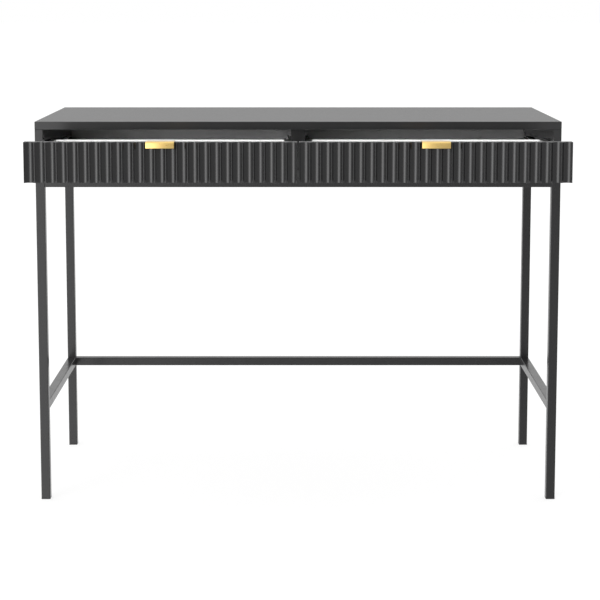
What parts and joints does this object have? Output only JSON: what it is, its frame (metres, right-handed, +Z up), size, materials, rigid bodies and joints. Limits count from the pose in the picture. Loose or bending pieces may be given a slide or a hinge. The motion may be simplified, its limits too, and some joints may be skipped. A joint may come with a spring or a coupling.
{
  "type": "writing desk with drawers",
  "caption": "Slim black writing desk: a shallow case with fluted drawer fronts and brass edge pulls on a square-tube steel frame with low side and rear stretchers.",
  "frame": {"origin": "on the floor, midway between the four feet", "axes": "+X to the sitter's right, +Y from the drawer fronts to the back, +Z up"},
  "size_m": [1.04, 0.728, 0.766],
  "materials": {
    "black_board": "satin black foil on board",
    "black_front": "satin black lacquer on milled fibreboard",
    "white_board": "white melamine board",
    "black_steel": "fine-texture black powder coat",
    "black_plastic": "moulded black polyethylene",
    "brass_pull": "brushed satin brass",
    "zinc_steel": "bright zinc plate",
    "beech": "plain beech"
  },
  "bodies": {
    "desk": {"tabletop": "black_board", "side_panel_left": "black_board", "side_panel_right": "black_board", "bottom_panel": "black_board", "centre_divider": "black_board", "back_panel": "black_board", "leg_front_left": "black_steel", "leg_front_right": "black_steel", "leg_back_left": "black_steel", "leg_back_right": "black_steel", "rail_front": "black_steel", "rail_back": "black_steel", "rail_left": "black_steel", "rail_right": "black_steel", "stretcher_back": "black_steel", "stretcher_left": "black_steel", "stretcher_right": "black_steel", "foot_cap_front_left": "black_plastic", "foot_cap_front_right": "black_plastic", "foot_cap_back_left": "black_plastic", "foot_cap_back_right": "black_plastic", "frame_screws": "zinc_steel", "top_dowels": "beech", "slide_left_inner_fixed_rail": "zinc_steel", "slide_left_outer_fixed_rail": "zinc_steel", "slide_right_inner_fixed_rail": "zinc_steel", "slide_right_outer_fixed_rail": "zinc_steel"},
    "drawer_left": {"drawer_left_front": "black_front", "drawer_left_pull": "brass_pull", "drawer_left_pull_screws": "zinc_steel", "drawer_left_inner_side": "white_board", "drawer_left_outer_side": "white_board", "drawer_left_back": "white_board", "drawer_left_bottom": "white_board", "drawer_left_corner_screws": "zinc_steel", "slide_left_inner_moving_rail": "zinc_steel", "slide_left_outer_moving_rail": "zinc_steel"},
    "ball_cages_left": {"slide_left_inner_ball_cage": "zinc_steel", "slide_left_outer_ball_cage": "zinc_steel"},
    "drawer_right": {"drawer_right_front": "black_front", "drawer_right_pull": "brass_pull", "drawer_right_pull_screws": "zinc_steel", "drawer_right_inner_side": "white_board", "drawer_right_outer_side": "white_board", "drawer_right_back": "white_board", "drawer_right_bottom": "white_board", "drawer_right_corner_screws": "zinc_steel", "slide_right_inner_moving_rail": "zinc_steel", "slide_right_outer_moving_rail": "zinc_steel"},
    "ball_cages_right": {"slide_right_inner_ball_cage": "zinc_steel", "slide_right_outer_ball_cage": "zinc_steel"}
  },
  "joints": [
    {"name": "drawer_left_slide", "type": "slide", "parent": "desk", "child": "drawer_left", "axis": [0, -1, 0], "range_m": [-0.264, 0]},
    {"name": "ball_cages_left_roll", "type": "slide", "parent": "desk", "child": "ball_cages_left", "axis": [0, -1, 0], "range_m": [-0.132, 0]},
    {"name": "drawer_right_slide", "type": "slide", "parent": "desk", "child": "drawer_right", "axis": [0, -1, 0], "range_m": [-0.264, 0]},
    {"name": "ball_cages_right_roll", "type": "slide", "parent": "desk", "child": "ball_cages_right", "axis": [0, -1, 0], "range_m": [-0.132, 0]}
  ],
  "couplings": [
    {"joint": "ball_cages_left_roll", "follows": "drawer_left_slide", "ratio": 0.5},
    {"joint": "ball_cages_right_roll", "follows": "drawer_right_slide", "ratio": 0.5}
  ]
}
